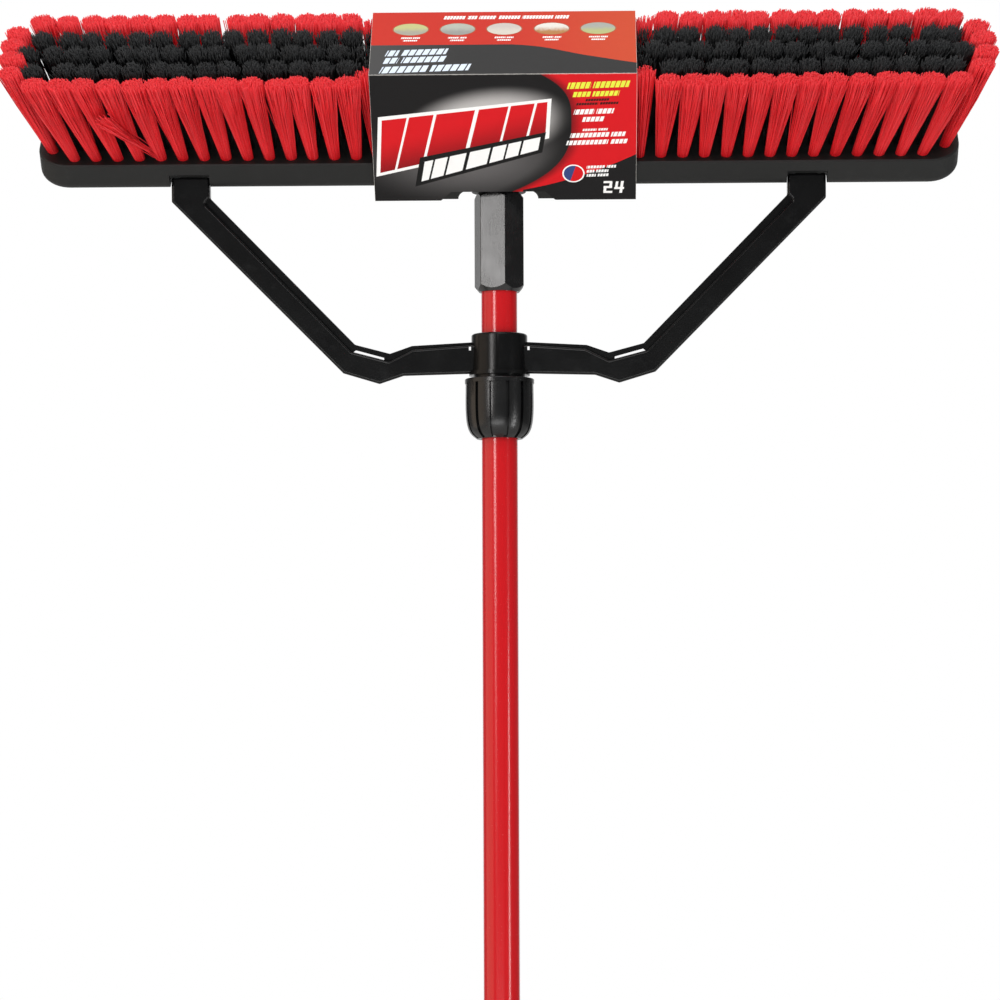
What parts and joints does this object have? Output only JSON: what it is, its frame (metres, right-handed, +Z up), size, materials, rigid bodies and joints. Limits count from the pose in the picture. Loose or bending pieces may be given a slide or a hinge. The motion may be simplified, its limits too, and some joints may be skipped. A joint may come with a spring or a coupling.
{
  "type": "push broom",
  "caption": "Wide push broom with a slanted screw-in handle, a two-armed brace locked by a fluted twist nut, red bristles ringing black ones, and a paperboard sleeve.",
  "frame": {"origin": "centre of the flat butt end of the handle", "axes": "+Z up the handle from its butt end to the head, X along the head, -Y to the front, where the bristles lean"},
  "size_m": [0.649, 0.1274, 1.6149],
  "materials": {
    "block": "fine moulded grain",
    "steel": "drawn flat wire",
    "red_bristle": "fine filaments with split ends",
    "black_bristle": "crimped filaments",
    "paperboard": "printed and varnished board",
    "red_coating": "gloss coating on steel tube",
    "black_plastic": "gloss moulding",
    "grey_plastic": "plain moulding"
  },
  "bodies": {
    "handle": {"handle_tube": "red_coating", "ferrule": "black_plastic", "end_cap": "black_plastic"},
    "head": {"block": "block", "tuft_staples": "steel", "tufts_red_front": "red_bristle", "tufts_red_rear": "red_bristle", "tufts_red_left": "red_bristle", "tufts_red_right": "red_bristle", "tufts_black_front": "black_bristle", "tufts_black_middle": "black_bristle", "tufts_black_rear": "black_bristle", "sleeve": "paperboard"},
    "brace": {"brace": "black_plastic"},
    "collet": {"collet_ring": "grey_plastic"},
    "nut": {"lock_nut": "black_plastic"}
  },
  "joints": [
    {"name": "head_unscrew", "type": "hinge", "parent": "handle", "child": "head", "pos_m": [0, 0, 1.521], "axis": [0, 0, 1], "continuous": true},
    {"name": "brace_slide", "type": "slide", "parent": "head", "child": "brace", "axis": [0, 0, -1], "range_m": [0, 0.25]},
    {"name": "collet_slide", "type": "slide", "parent": "brace", "child": "collet", "axis": [0, 0, -1], "range_m": [0, 0.0061]},
    {"name": "nut_turn", "type": "hinge", "parent": "collet", "child": "nut", "pos_m": [0, 0, 1.355], "axis": [0, 0, -1], "range_deg": [0, 720]}
  ],
  "couplings": [
    {"joint": "collet_slide", "follows": "nut_turn", "m_per_rad": 0.00047746}
  ]
}
